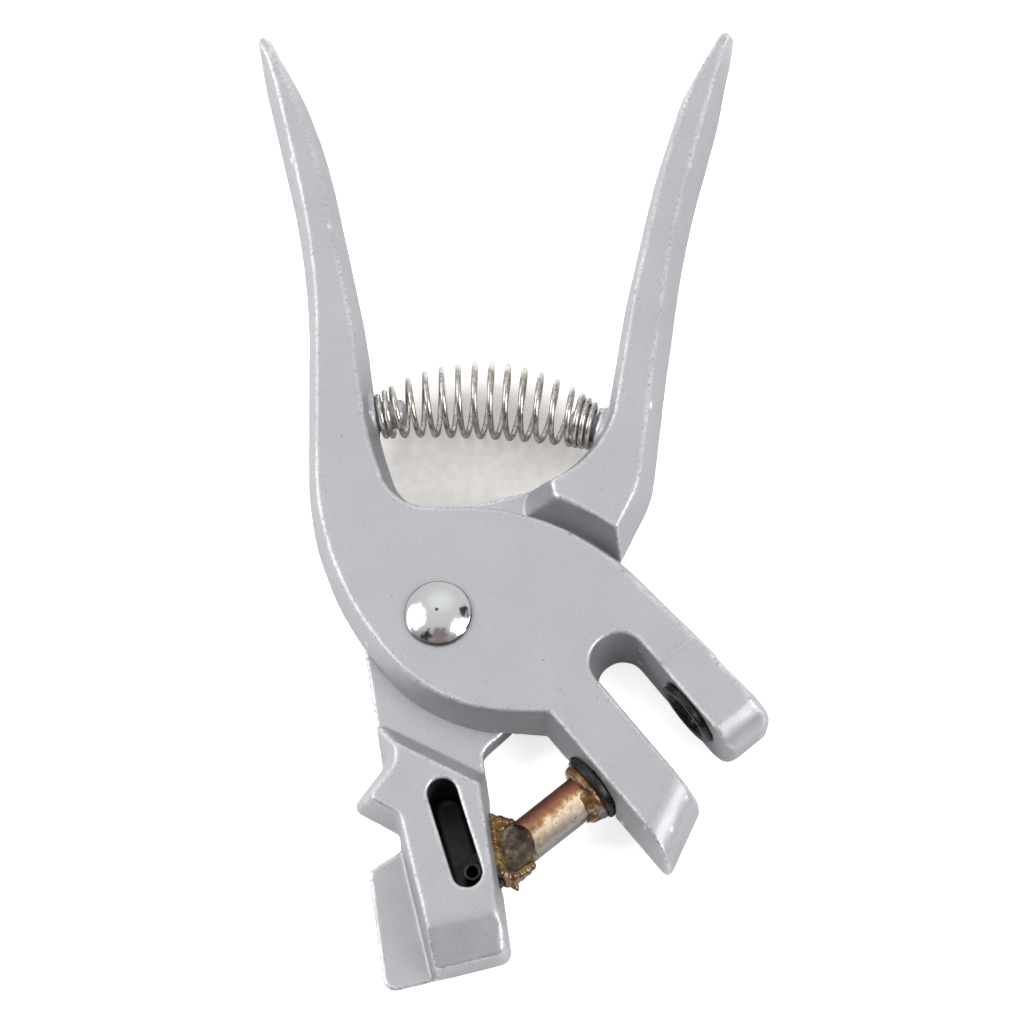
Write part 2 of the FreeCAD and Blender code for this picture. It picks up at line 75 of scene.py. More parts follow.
def new_material(name):
    """Material with a Principled shader, and the coordinates of the piece in metres."""
    material = bpy.data.materials.new(name)
    material.use_nodes = True
    tree = material.node_tree
    tree.nodes.clear()
    shader = add_node(tree, "ShaderNodeBsdfPrincipled")
    add_node(tree, "ShaderNodeOutputMaterial", {"Surface": shader.outputs["BSDF"]})
    place = add_node(tree, "ShaderNodeTexCoord").outputs["Object"]
    return material, tree, shader, place


def select_only(piece):
    """Make the piece the only selected one, and the active one."""
    bpy.ops.object.select_all(action="DESELECT")
    piece.select_set(True)
    bpy.context.view_layer.objects.active = piece


def apply_modifier(piece, kind, **settings):
    """Add one modifier with its settings and apply it."""
    modifier = piece.modifiers.new(kind.lower(), kind)
    for name, value in settings.items():
        setattr(modifier, name, value)
    select_only(piece)
    bpy.ops.object.modifier_apply(modifier=modifier.name)


def copy_of(node, name):
    """A merged copy of a CAD node's mesh, as a new piece at the origin."""
    piece = bpy.data.objects.new(name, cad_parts[node].data.copy())
    bpy.context.collection.objects.link(piece)
    piece.data.materials.clear()
    select_only(piece)
    bpy.ops.object.mode_set(mode="EDIT")
    bpy.ops.mesh.select_all(action="SELECT")
    bpy.ops.mesh.remove_doubles(threshold=0.000002)
    bpy.ops.object.mode_set(mode="OBJECT")
    return piece


def smooth_shading(piece, angle):
    """Smooth shading, kept sharp where faces meet at more than the angle in degrees."""
    select_only(piece)
    bpy.ops.object.shade_smooth_by_angle(angle=math.radians(angle))


# Bare cast aluminium. The mould leaves a matt grain of about 0.1 mm, drawn here at 0.35 mm so
# that it shows. Tumbling brightens the roundings in patches, and leaves dark pits beside them; the
# bright roundings are also a painted highlight.
casting, tree, shader, place = new_material("tumbled_cast_aluminium")
grain = add_node(tree, "ShaderNodeTexNoise", {"Vector": place, "Scale": 1000 / 0.35, "Detail": 2.0,
                                              "Roughness": 0.6}).outputs["Fac"]
fleck = add_node(tree, "ShaderNodeTexNoise", {"Vector": place, "Scale": 1000 / 0.9, "Detail": 4.0,
                                              "Roughness": 0.7}).outputs["Fac"]
cloud = add_node(tree, "ShaderNodeTexNoise", {"Vector": place, "Scale": 1000 / 14.0, "Detail": 2.0,
                                              "Roughness": 0.5}).outputs["Fac"]
pit = add_node(tree, "ShaderNodeTexNoise", {"Vector": place, "Scale": 1000 / 1.7, "Detail": 3.0,
                                            "Roughness": 0.55}).outputs["Fac"]
pit_mask = add_node(tree, "ShaderNodeMapRange", {"Value": pit, "From Min": 0.71,
                                                 "From Max": 0.77}).outputs[0]

# Outer corners are rubbed bright where hands and tumbling reach them, and pitted just beside.
# The whitening is also a painted highlight of the roundings.
pointed = add_node(tree, "ShaderNodeNewGeometry").outputs["Pointiness"]
edge_wear_and_highlight = add_node(tree, "ShaderNodeMapRange", {"Value": pointed, "From Min": 0.506,
                                             "From Max": 0.545}).outputs[0]
beside = add_node(tree, "ShaderNodeMapRange", {"Value": pointed, "From Min": 0.500,
                                               "From Max": 0.508}).outputs[0]
rubbed = add_node(tree, "ShaderNodeMapRange", {"Value": fleck, "From Min": 0.34,
                                               "From Max": 0.56}).outputs[0]
handled = add_node(tree, "ShaderNodeMapRange", {"Value": cloud, "From Min": 0.35, "From Max": 0.60,
                                                "To Min": 0.35}).outputs[0]
wear_and_highlight = add_node(tree, "ShaderNodeMath", {0: edge_wear_and_highlight, 1: rubbed}, operation="MULTIPLY").outputs[0]
wear_and_highlight = add_node(tree, "ShaderNodeMath", {0: wear_and_highlight, 1: handled}, operation="MULTIPLY").outputs[0]
edge_pit = add_node(tree, "ShaderNodeMapRange", {"Value": fleck, "From Min": 0.42, "From Max": 0.34,
                                                 "To Max": 0.5}).outputs[0]
edge_dark = add_node(tree, "ShaderNodeMath", {0: beside, 1: edge_pit}, operation="MULTIPLY").outputs[0]
broad = add_node(tree, "ShaderNodeValToRGB", {"Fac": cloud}, [(0.35, "#ACADB1"), (0.65, "#B4B5B9")])
speck = add_node(tree, "ShaderNodeValToRGB", {"Fac": grain}, [(0.30, "#A4A5AA"), (0.50, "#B0B1B6"),
                                                             (0.75, "#C4C5C9")])
colour = add_node(tree, "ShaderNodeMix", {0: 0.55, 6: broad.outputs[0], 7: speck.outputs[0]},
                  data_type="RGBA").outputs[2]
colour = add_node(tree, "ShaderNodeMix", {0: pit_mask, 6: colour, 7: to_linear("#7E7F84")},
                  data_type="RGBA").outputs[2]
colour = add_node(tree, "ShaderNodeMix", {0: edge_dark, 6: colour, 7: to_linear("#7C7D82")},
                  data_type="RGBA").outputs[2]
# Whitened roundings: rubbed wear, and a painted highlight.
colour = add_node(tree, "ShaderNodeMix", {0: wear_and_highlight, 6: colour, 7: to_linear("#F6F6F6")},
                  data_type="RGBA").outputs[2]
tree.links.new(colour, shader.inputs["Base Color"])
shader.inputs["Metallic"].default_value = 0.6
gloss = add_node(tree, "ShaderNodeMapRange", {"Value": wear_and_highlight, "To Min": 0.42, "To Max": 0.28}).outputs[0]
tree.links.new(gloss, shader.inputs["Roughness"])
wavy = add_node(tree, "ShaderNodeBump", {"Height": cloud, "Distance": 0.0004, "Strength": 0.5}).outputs[0]
grainy = add_node(tree, "ShaderNodeBump", {"Height": grain, "Distance": 0.00006, "Strength": 0.7,
                                           "Normal": wavy}).outputs[0]
pitted = add_node(tree, "ShaderNodeBump", {"Height": pit_mask, "Distance": -0.00005, "Strength": 0.15,
                                           "Normal": grainy}).outputs[0]
tree.links.new(pitted, shader.inputs["Normal"])

waviness = bpy.data.textures.new("cast_waviness", "CLOUDS")
waviness.noise_scale = 0.006
wave_height = 0.00018
casting_voxel = 0.00045
casting_triangles = 190000
left_tip = (-49, 151, -1, 3.5, 14)


def cast_piece(node, name, rounded):
    """Casting made from a CAD node. A place to round more is x, y, lowest z and reach in mm, and passes."""
    piece = copy_of(node, name)
    apply_modifier(piece, "REMESH", mode="VOXEL", voxel_size=casting_voxel)
    apply_modifier(piece, "SMOOTH", factor=0.5, iterations=6)
    for x, y, low, reach, passes in rounded:
        group = piece.vertex_groups.new(name="soft")
        for vertex in piece.data.vertices:
            away = math.hypot(vertex.co.x * 1000 - x, vertex.co.y * 1000 - y)
            if away < reach and vertex.co.z * 1000 > low:
                group.add([vertex.index], min(1.0, 2 - 2 * away / reach), "REPLACE")
        apply_modifier(piece, "SMOOTH", factor=0.5, iterations=passes, vertex_group="soft")
        piece.vertex_groups.clear()
    share = casting_triangles / (2 * len(piece.data.polygons))
    apply_modifier(piece, "DECIMATE", ratio=min(1.0, share))
    apply_modifier(piece, "DISPLACE", texture=waviness, strength=wave_height, mid_level=0.5)
    piece.data.materials.append(casting)
    return piece


front_lever = cast_piece("front_lever", "front_lever_casting", [left_tip])
smooth_shading(front_lever, 60)
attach(front_lever, "front")
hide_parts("front_lever")

# Guide and die bushings: turned steel, blackened, and pressed into the two prongs.
# Their flanges seat in spot faces beside the ear slot, and old oil keeps them glossy.
blackened, tree, shader, place = new_material("blackened_oiled_steel")
film = add_node(tree, "ShaderNodeTexNoise", {"Vector": place, "Scale": 1000 / 1.4, "Detail": 4.0,
                                             "Roughness": 0.65}).outputs["Fac"]
tone = add_node(tree, "ShaderNodeValToRGB", {"Fac": film}, [(0.35, "#0B0B0C"), (0.60, "#232225"),
                                                           (0.75, "#4A484C")]).outputs[0]
soft = add_node(tree, "ShaderNodeBevel", {"Radius": 0.0003}, samples=6).outputs["Normal"]
true = add_node(tree, "ShaderNodeNewGeometry").outputs["Normal"]
facing = add_node(tree, "ShaderNodeVectorMath", {0: soft, 1: true}, operation="DOT_PRODUCT").outputs["Value"]
# Edges are painted lighter grey: rubbed through the black, and a painted highlight.
edge_wear_and_highlight = add_node(tree, "ShaderNodeMapRange", {"Value": facing, "From Min": 0.98, "From Max": 0.85,
                                             "To Max": 0.6}).outputs[0]
tone = add_node(tree, "ShaderNodeMix", {0: edge_wear_and_highlight, 6: tone, 7: to_linear("#98958F")},
                data_type="RGBA").outputs[2]
tree.links.new(tone, shader.inputs["Base Color"])
shader.inputs["Metallic"].default_value = 0.3
gloss = add_node(tree, "ShaderNodeMapRange", {"Value": film, "From Min": 0.3, "From Max": 0.7,
                                              "To Min": 0.18, "To Max": 0.4}).outputs[0]
tree.links.new(gloss, shader.inputs["Roughness"])
uneven = add_node(tree, "ShaderNodeBump", {"Height": film, "Distance": 0.0001, "Strength": 0.6}).outputs[0]
tree.links.new(uneven, shader.inputs["Normal"])

for node, name in (("guide_bushing", "guide_bushing_flanged"), ("die_bushing", "die_bushing_flanged")):
    bushing = copy_of(node, name)
    apply_modifier(bushing, "BEVEL", width=0.0003, segments=3, limit_method="ANGLE",
                   angle_limit=math.radians(50))
    bushing.data.materials.append(blackened)
    smooth_shading(bushing, 35)
    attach(bushing, "front")
    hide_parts(node)

# Rear lever: right handle, back half of the lap joint and the block that carries the punch.
# It is the same casting as the front lever. Its pin slot is near black: old oil, and painted shade of the
# deep slot.

# Places that are rounded more than the rest of the casting: handle tip, root and block.
right_tip = (65, 151, -1, 3.5, 14)
root_corner = (17.5, 33.0, 10.8, 5.5, 60)
root_top = [(23.0, 28.5, 16.5, 4.0, 25), (28.5, 25.0, 16.5, 4.0, 25), (34.0, 20.5, 16.5, 4.0, 25)]
block_corner = (18.5, -78.5, -1, 6.0, 40)
block_crease = [(3.5, -69.6, 15.0, 4.5, 40), (8.5, -68.5, 15.0, 4.5, 40), (13.5, -67.3, 15.0, 4.5, 40)]

# The pin slot: centres of its two ends, half width, and the heights that are black, in mm.
slot_top = Vector((2.2, -42.15))
slot_bottom = Vector((8.33, -60.45))
slot_half = 3.4
slot_spare = 0.3
slot_floor = 1.0
slot_rim = 19.3
oil_and_shade, tree, shader, place = new_material("oiled_slot_with_painted_shade")
film = add_node(tree, "ShaderNodeTexNoise", {"Vector": place, "Scale": 1000 / 2.5, "Detail": 4.0,
                                             "Roughness": 0.6}).outputs["Fac"]
tone = add_node(tree, "ShaderNodeValToRGB", {"Fac": film}, [(0.35, "#232221"),
                                                           (0.70, "#3E3C3A")]).outputs[0]
tree.links.new(tone, shader.inputs["Base Color"])
shader.inputs["Roughness"].default_value = 0.4
uneven = add_node(tree, "ShaderNodeBump", {"Height": film, "Distance": 0.0001, "Strength": 0.5}).outputs[0]
tree.links.new(uneven, shader.inputs["Normal"])

rear_lever = cast_piece("rear_lever", "rear_lever_casting",
                        [right_tip, root_corner, *root_top, block_corner, *block_crease])
rear_lever.data.materials.append(oil_and_shade)
along_slot = (slot_bottom - slot_top).normalized()
slot_length = (slot_bottom - slot_top).length
# Faces inside the pin slot take the near-black material: painted shade over old oil.
for face in rear_lever.data.polygons:
    spot = Vector((face.center.x * 1000, face.center.y * 1000))
    way_down = min(max((spot - slot_top).dot(along_slot), 0), slot_length)
    beside_slot = (spot - slot_top - along_slot * way_down).length
    if beside_slot < slot_half + slot_spare and slot_floor < face.center.z * 1000 < slot_rim:
        face.material_index = 1
smooth_shading(rear_lever, 60)
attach(rear_lever, "rear")
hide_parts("rear_lever")

# Pivot rivet: bright steel, its head set to a smooth low dome that mirrors the studio.
# A plain washer lies under the riveted tail, at the back.
polished, tree, shader, place = new_material("polished_steel")
flat = add_node(tree, "ShaderNodeVectorMath", {0: place, 1: (1.0, 1.0, 0.0)}, operation="MULTIPLY").outputs[0]
radius = add_node(tree, "ShaderNodeVectorMath", {0: flat}, operation="LENGTH").outputs["Value"]
scuffs = add_node(tree, "ShaderNodeTexNoise", {"Vector": place, "Scale": 1000 / 1.5, "Detail": 5.0,
                                               "Roughness": 0.7}).outputs["Fac"]
shifted = add_node(tree, "ShaderNodeMath", {0: scuffs, 1: -0.001, 2: radius},
                   operation="MULTIPLY_ADD").outputs[0]
rust = add_node(tree, "ShaderNodeMapRange", {"Value": shifted, "From Min": 0.0000,
                                             "From Max": -0.0002}).outputs[0]
# The outer edge of the head is painted dark grey: painted shade at the edge of the dome.
dark_rim_shade = add_node(tree, "ShaderNodeMapRange", {"Value": radius, "From Min": 0.0073,
                                            "From Max": 0.0077}).outputs[0]
tone = add_node(tree, "ShaderNodeMix", {0: dark_rim_shade, 6: to_linear("#E4E6E6"), 7: to_linear("#77787A")},
                data_type="RGBA").outputs[2]
tone = add_node(tree, "ShaderNodeMix", {0: rust, 6: tone, 7: to_linear("#8A4A20")},
                data_type="RGBA").outputs[2]
tree.links.new(tone, shader.inputs["Base Color"])
shader.inputs["Metallic"].default_value = 1.0
gloss = add_node(tree, "ShaderNodeMapRange", {"Value": scuffs, "From Min": 0.4, "From Max": 0.7,
                                              "To Min": 0.09, "To Max": 0.16}).outputs[0]
tree.links.new(gloss, shader.inputs["Roughness"])

for node, name in (("pivot_rivet", "rivet_domed_head"), ("rivet_washer", "rivet_back_washer")):
    fastener = copy_of(node, name)
    fastener.data.materials.append(polished)
    smooth_shading(fastener, 40)
    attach(fastener, "front")
    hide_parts(node)

# Punch: a ground steel bar, its end milled to a flat tongue for the cross pin.
# Old grease has stained it copper brown above, and left it pale below. Across the bar a pale cream band is a
# painted highlight, and the dark upper edge is painted shade.
stained, tree, shader, place = new_material("grease_stained_steel")
side = add_node(tree, "ShaderNodeVectorMath", {0: place, 1: (-0.643, 0.766, 0.0)},
                operation="DOT_PRODUCT").outputs["Value"]
along = add_node(tree, "ShaderNodeVectorMath", {0: place, 1: (0.766, 0.643, 0.0)},
                 operation="DOT_PRODUCT").outputs["Value"]
streak_place = add_node(tree, "ShaderNodeVectorMath", {0: place, 1: (1.0, 1.0, 0.6)},
                        operation="MULTIPLY").outputs[0]
blotch = add_node(tree, "ShaderNodeTexNoise", {"Vector": streak_place, "Scale": 1000 / 3.5, "Detail": 6.0,
                                               "Roughness": 0.7}).outputs["Fac"]
fine = add_node(tree, "ShaderNodeTexNoise", {"Vector": place, "Scale": 1000 / 0.8, "Detail": 3.0,
                                             "Roughness": 0.6}).outputs["Fac"]
shifted = add_node(tree, "ShaderNodeMath", {0: blotch, 1: 0.006, 2: side},
                   operation="MULTIPLY_ADD").outputs[0]
band = add_node(tree, "ShaderNodeMapRange", {"Value": shifted, "From Min": -0.0538,
                                             "From Max": -0.0440}).outputs[0]
# Colour across the bar: grey below, a painted cream highlight, copper stain, painted shade at the upper edge.
stain_and_sheen = add_node(tree, "ShaderNodeValToRGB", {"Fac": band}, [
    (0.00, "#9A948F"), (0.14, "#A59B90"), (0.26, "#D2BD9C"), (0.36, "#F0DCC8"), (0.44, "#C49A70"),
    (0.54, "#8A6440"), (0.66, "#7C4A3C"), (0.86, "#5C382C"), (1.00, "#2E201C")]).outputs[0]
dirt = add_node(tree, "ShaderNodeMapRange", {"Value": fine, "From Min": 0.58, "From Max": 0.72,
                                             "To Max": 0.6}).outputs[0]
stain_and_sheen = add_node(tree, "ShaderNodeMix", {0: dirt, 6: stain_and_sheen, 7: to_linear("#4A3A28")},
                 data_type="RGBA").outputs[2]

# The tongue is darker: the flat that faces up, past the shoulder, and the end inside the block. Deeper in the
# block the end is painted near black, as shade.
true = add_node(tree, "ShaderNodeNewGeometry").outputs["True Normal"]
upright = add_node(tree, "ShaderNodeSeparateXYZ", {"Vector": true}).outputs["Z"]
flat = add_node(tree, "ShaderNodeMapRange", {"Value": upright, "From Min": 0.995,
                                             "From Max": 0.999}).outputs[0]
near = add_node(tree, "ShaderNodeMapRange", {"Value": along, "From Min": -0.0135,
                                             "From Max": -0.0140}).outputs[0]
milled = add_node(tree, "ShaderNodeMath", {0: flat, 1: near}, operation="MULTIPLY").outputs[0]
end = add_node(tree, "ShaderNodeMapRange", {"Value": along, "From Min": -0.01665,
                                            "From Max": -0.01695}).outputs[0]
tongue = add_node(tree, "ShaderNodeMath", {0: milled, 1: end}, operation="MAXIMUM").outputs[0]
grime_and_shade = add_node(tree, "ShaderNodeValToRGB", {"Fac": blotch}, [
    (0.34, "#221E1B"), (0.46, "#40382E"), (0.54, "#5E5240"), (0.62, "#8C8470"), (0.72, "#B8AC98")]).outputs[0]
# Painted shade: near black deeper inside the block.
painted_shade_deep = add_node(tree, "ShaderNodeMapRange", {"Value": along, "From Min": -0.0225,
                                             "From Max": -0.0265}).outputs[0]
grime_and_shade = add_node(tree, "ShaderNodeMix", {0: painted_shade_deep, 6: grime_and_shade, 7: to_linear("#242120")},
                 data_type="RGBA").outputs[2]
tone = add_node(tree, "ShaderNodeMix", {0: tongue, 6: stain_and_sheen, 7: grime_and_shade}, data_type="RGBA").outputs[2]
tree.links.new(tone, shader.inputs["Base Color"])
shader.inputs["Metallic"].default_value = 0.5
gloss = add_node(tree, "ShaderNodeMapRange", {"Value": fine, "From Min": 0.3, "From Max": 0.7,
                                              "To Min": 0.25, "To Max": 0.5}).outputs[0]
tree.links.new(gloss, shader.inputs["Roughness"])
uneven = add_node(tree, "ShaderNodeBump", {"Height": fine, "Distance": 0.0001, "Strength": 0.5}).outputs[0]
tree.links.new(uneven, shader.inputs["Normal"])

# The mill that cut the flat leaves it with a round end.
mill_radius, mill_height = 0.0054, 0.006
mill_place = (0.01760, -0.05311, 0.0152)
punch = copy_of("punch", "punch_bar")
bpy.ops.mesh.primitive_cylinder_add(vertices=64, radius=mill_radius, depth=mill_height, location=mill_place)
mill = bpy.context.object
apply_modifier(punch, "BOOLEAN", operation="DIFFERENCE", object=mill, solver="EXACT")
bpy.data.objects.remove(mill)
apply_modifier(punch, "BEVEL", width=0.0002, segments=2, limit_method="ANGLE", angle_limit=math.radians(50))
punch.data.materials.append(stained)
smooth_shading(punch, 35)
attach(punch, "punch")
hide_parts("punch")

# Cross pin: a hollow roll pin of blackened spring steel, pressed through the tongue.
# Its rubbed end shows as a thin ring in the slot of the block; the ring is rubbed steel and a painted
# highlight.
pin = copy_of("cross_pin", "roll_pin")
apply_modifier(pin, "BEVEL", width=0.0002, segments=3, limit_method="ANGLE", angle_limit=math.radians(50))
pin.data.materials.append(blackened)
smooth_shading(pin, 35)
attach(pin, "punch")
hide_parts("cross_pin")

# Return spring: bright steel wire, wound as a barrel with close turns at both ends.
# It sits on a cast post at each handle, on an axis that bows away from the pivot.
bright, tree, shader, place = new_material("bright_drawn_wire")
drawn = add_node(tree, "ShaderNodeTexNoise", {"Vector": place, "Scale": 1000 / 1.2, "Detail": 4.0,
                                              "Roughness": 0.6}).outputs["Fac"]
tone = add_node(tree, "ShaderNodeValToRGB", {"Fac": drawn}, [(0.30, "#B4AAA2"), (0.55, "#DCD7D2"),
                                                            (0.80, "#F0EDEA")]).outputs[0]
tree.links.new(tone, shader.inputs["Base Color"])
shader.inputs["Metallic"].default_value = 1.0
gloss = add_node(tree, "ShaderNodeMapRange", {"Value": drawn, "From Min": 0.3, "From Max": 0.7,
                                              "To Min": 0.16, "To Max": 0.3}).outputs[0]
tree.links.new(gloss, shader.inputs["Roughness"])

spring_start = Vector((-0.01642, 0.05223, 0.010))
spring_end = Vector((0.03449, 0.04918, 0.010))
wire_radius = 0.00068
end_diameter, barrel_growth, barrel_shape = 0.0094, 0.0078, 0.9
spring_bow, coil_tilt = 0.0055, 0.5
turns, close_left, close_right, close_pitch = 17, 2.0, 3.5, 0.0015
steps_per_turn = 48
way = (spring_end - spring_start).normalized()
out = Vector((-way.y, way.x, 0))
length = (spring_end - spring_start).length
open_pitch = (length - close_pitch * (close_left + close_right)) / (turns - close_left - close_right)
path = bpy.data.curves.new("spring_path", "CURVE")
path.dimensions = "3D"
path.bevel_depth = wire_radius
path.bevel_resolution = 4
path.use_fill_caps = True
line = path.splines.new("POLY")
line.points.add(turns * steps_per_turn)
for index, point in enumerate(line.points):
    turn = index / steps_per_turn
    middle_turns = min(max(turn - close_left, 0), turns - close_left - close_right)
    share = (close_pitch * (turn - middle_turns) + open_pitch * middle_turns) / length
    barrel = math.sin(math.pi * min(max(share, 0), 1))
    reach = (end_diameter + barrel_growth * max(barrel, 0) ** barrel_shape) / 2
    slope = coil_tilt * math.atan(4 * spring_bow * (1 - 2 * share) / length)
    across = out * math.cos(slope) - way * math.sin(slope)
    middle = spring_start + way * (length * share) + out * (4 * spring_bow * share * (1 - share))
    angle = 2 * math.pi * turn
    spot = middle + across * (reach * math.cos(angle)) + Vector((0, 0, reach * math.sin(angle)))
    point.co = (*spot, 1.0)
spring = bpy.data.objects.new("barrel_spring", path)
bpy.context.collection.objects.link(spring)
select_only(spring)
bpy.ops.object.convert(target="MESH")
spring = bpy.context.object
bpy.ops.object.shade_smooth()
spring.data.materials.append(bright)
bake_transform(spring)
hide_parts("return_spring")

# Old grease: amber and half clear, pressed out round the punch at the guide flange
# and at the mouth of the pocket, where it hangs in small spikes.
greasy, tree, shader, place = new_material("amber_grease")
swirl = add_node(tree, "ShaderNodeTexNoise", {"Vector": place, "Scale": 1000 / 3.6, "Detail": 4.0,
                                              "Roughness": 0.6}).outputs["Fac"]
tone = add_node(tree, "ShaderNodeValToRGB", {"Fac": swirl}, [
    (0.30, "#241A0C"), (0.40, "#553512"), (0.50, "#80541A"), (0.58, "#7E6C28"), (0.72, "#C8B468")]).outputs[0]
tree.links.new(tone, shader.inputs["Base Color"])
shader.inputs["Roughness"].default_value = 0.06
shader.inputs["Coat Weight"].default_value = 1.0
shader.inputs["Coat Roughness"].default_value = 0.04
shader.inputs["IOR"].default_value = 1.47
shader.inputs["Transmission Weight"].default_value = 0.25
ripple = add_node(tree, "ShaderNodeTexNoise", {"Vector": place, "Scale": 1000 / 1.1,
                                               "Detail": 2.0}).outputs["Fac"]
uneven = add_node(tree, "ShaderNodeBump", {"Height": ripple, "Distance": 0.0004, "Strength": 0.8}).outputs[0]
tree.links.new(uneven, shader.inputs["Normal"])
lumpiness = bpy.data.textures.new("grease_lumps", "CLOUDS")
lumpiness.noise_scale = 0.0030
lump_height = 0.0006
grease_voxel = 0.00018


def grease_lump(name, body, blobs, spikes, ring=None):
    """Lump of grease, in mm. A blob is x, y, z, radius and height share, a spike its root, tip and radius,
    and a ring its centre, axis and two radii."""
    made = []
    for x, y, z, radius, tall in blobs:
        bpy.ops.mesh.primitive_ico_sphere_add(subdivisions=3, radius=radius / 1000,
                                              location=(x / 1000, y / 1000, z / 1000), scale=(1, 1, tall))
        made.append(bpy.context.object)
    for root, tip, radius in spikes:
        start, end = Vector(root) / 1000, Vector(tip) / 1000
        turn = (end - start).to_track_quat("Z", "Y").to_euler()
        bpy.ops.mesh.primitive_cone_add(vertices=16, radius1=radius / 1000, depth=(end - start).length,
                                        location=(start + end) / 2, rotation=turn)
        made.append(bpy.context.object)
    if ring:
        centre, axis, major, minor = ring
        turn = Vector(axis).to_track_quat("Z", "Y").to_euler()
        bpy.ops.mesh.primitive_torus_add(major_radius=major / 1000, minor_radius=minor / 1000,
                                         location=Vector(centre) / 1000, rotation=turn)
        made.append(bpy.context.object)
    bpy.ops.object.select_all(action="DESELECT")
    for blob in made:
        blob.select_set(True)
    bpy.context.view_layer.objects.active = made[0]
    bpy.ops.object.join()
    lump = bpy.context.object
    lump.name = name
    bpy.ops.object.transform_apply(location=True, rotation=True, scale=True)
    apply_modifier(lump, "REMESH", mode="VOXEL", voxel_size=grease_voxel)
    apply_modifier(lump, "SMOOTH", factor=0.5, iterations=6)
    apply_modifier(lump, "DISPLACE", texture=lumpiness, strength=lump_height, mid_level=0.4)
    apply_modifier(lump, "SMOOTH", factor=0.5, iterations=2)
    lump.data.materials.append(greasy)
    bpy.ops.object.shade_smooth()
    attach(lump, body)


grease_lump("grease_at_guide", "front", [
    (35.6, -40.6, 13.6, 1.9, 1.0), (35.0, -42.6, 12.6, 2.0, 1.0), (34.2, -41.6, 14.3, 1.5, 0.7),
    (35.6, -44.2, 10.0, 1.9, 1.3), (36.4, -43.6, 8.0, 1.6, 1.2)],
    [((36.0, -44.4, 10.0), (34.2, -46.6, 10.6), 1.3), ((34.6, -42.4, 13.2), (31.2, -43.8, 14.0), 1.3),
     ((34.4, -40.4, 14.0), (31.6, -41.4, 14.6), 0.9)],
    ((34.2, -39.2, 10.0), (0.766, 0.643, 0.0), 5.8, 1.4))
grease_lump("grease_at_pocket", "rear", [
    (12.9, -46.2, 11.0, 1.5, 2.4), (13.3, -47.8, 11.5, 1.5, 2.6), (13.6, -49.6, 11.5, 1.5, 2.6),
    (13.9, -51.4, 11.5, 1.5, 2.6), (14.2, -53.2, 11.5, 1.5, 2.6), (14.5, -55.0, 11.0, 1.6, 2.4),
    (14.9, -56.8, 11.0, 1.7, 2.2), (15.4, -58.6, 10.5, 1.9, 1.8), (16.6, -59.4, 10.0, 1.9, 1.4),
    (18.0, -58.9, 10.0, 1.8, 1.3), (19.4, -58.2, 10.0, 1.6, 1.2), (20.8, -57.2, 10.0, 1.4, 1.2),
    (22.0, -56.4, 10.0, 1.1, 1.2), (14.6, -46.6, 11.0, 1.6, 1.6), (16.0, -46.8, 11.0, 1.3, 1.4),
    (15.2, -48.0, 10.0, 1.5, 1.4), (17.2, -46.6, 11.0, 0.9, 1.2)],
    [((17.0, -59.0, 10.0), (19.4, -62.4, 10.0), 1.7), ((16.2, -59.0, 12.0), (16.9, -61.8, 12.4), 1.3)])

# Camera where the photograph was taken from: above the tool, looking at it from 20 degrees off
# the upright. Its focal length is given in pixels of the square picture.
focal_pixels, picture_pixels = 3850, 1024
camera_data = bpy.data.cameras.new("camera")
camera_data.sensor_width = 36
camera_data.lens = 36 * focal_pixels / picture_pixels
camera_data.clip_start = 0.05
camera_data.clip_end = 20
camera = bpy.data.objects.new("camera", camera_data)
bpy.context.collection.objects.link(camera)
right = Vector((0.99697, 0.02648, -0.07300))
up = Vector((0.0, 0.94015, 0.34078))
back = Vector((0.07770, -0.33980, 0.93728))
turned = Matrix((right, up, back)).transposed().to_4x4()
camera_place = (0.08493, -0.27595, 0.84933)
camera.matrix_world = Matrix.Translation(camera_place) @ turned
bpy.context.scene.camera = camera

# White studio table. The camera and the bright metal see it white, and it keeps the soft shadow
# of the tool. Between the handles a mottled grey shadow is painted on it.
bpy.ops.mesh.primitive_plane_add(size=6.0, location=(0, 0, -0.0003))
floor = bpy.context.object
floor.name = "floor"
table, tree, shader, place = new_material("white_table")
rays = add_node(tree, "ShaderNodeLightPath")
seen = add_node(tree, "ShaderNodeMath", {0: rays.outputs["Is Camera Ray"], 1: rays.outputs["Is Glossy Ray"]},
                operation="MAXIMUM").outputs[0]
seen = add_node(tree, "ShaderNodeMath", {0: seen, 1: rays.outputs["Is Transmission Ray"]},
                operation="MAXIMUM").outputs[0]
# Painted shadow: greyer and mottled round a spot between the handles.
painted_shadow_spot, painted_shadow_reach, painted_shadow_core = (0.008, 0.040, 0.0), 0.036, 0.020
away = add_node(tree, "ShaderNodeVectorMath", {0: place, 1: painted_shadow_spot}, operation="DISTANCE").outputs["Value"]
shaded = add_node(tree, "ShaderNodeMapRange", {"Value": away, "From Min": painted_shadow_reach, "From Max": painted_shadow_core},
                  interpolation_type="SMOOTHSTEP").outputs[0]
shadow_mottle = add_node(tree, "ShaderNodeTexNoise", {"Vector": place, "Scale": 1000 / 2.5, "Detail": 5.0,
                                             "Roughness": 0.6}).outputs["Fac"]
painted_shadow_tone = add_node(tree, "ShaderNodeValToRGB", {"Fac": shadow_mottle}, [(0.30, "#ADAAA7"), (0.60, "#B5B3B0")]).outputs[0]
tone = add_node(tree, "ShaderNodeMix", {0: shaded, 6: to_linear("#FFFFFF"), 7: painted_shadow_tone},
                data_type="RGBA").outputs[2]
tree.links.new(tone, shader.inputs["Emission Color"])
tone = add_node(tree, "ShaderNodeMix", {0: seen, 6: to_linear("#B4B4B4"), 7: tone},
                data_type="RGBA").outputs[2]
tree.links.new(tone, shader.inputs["Base Color"])
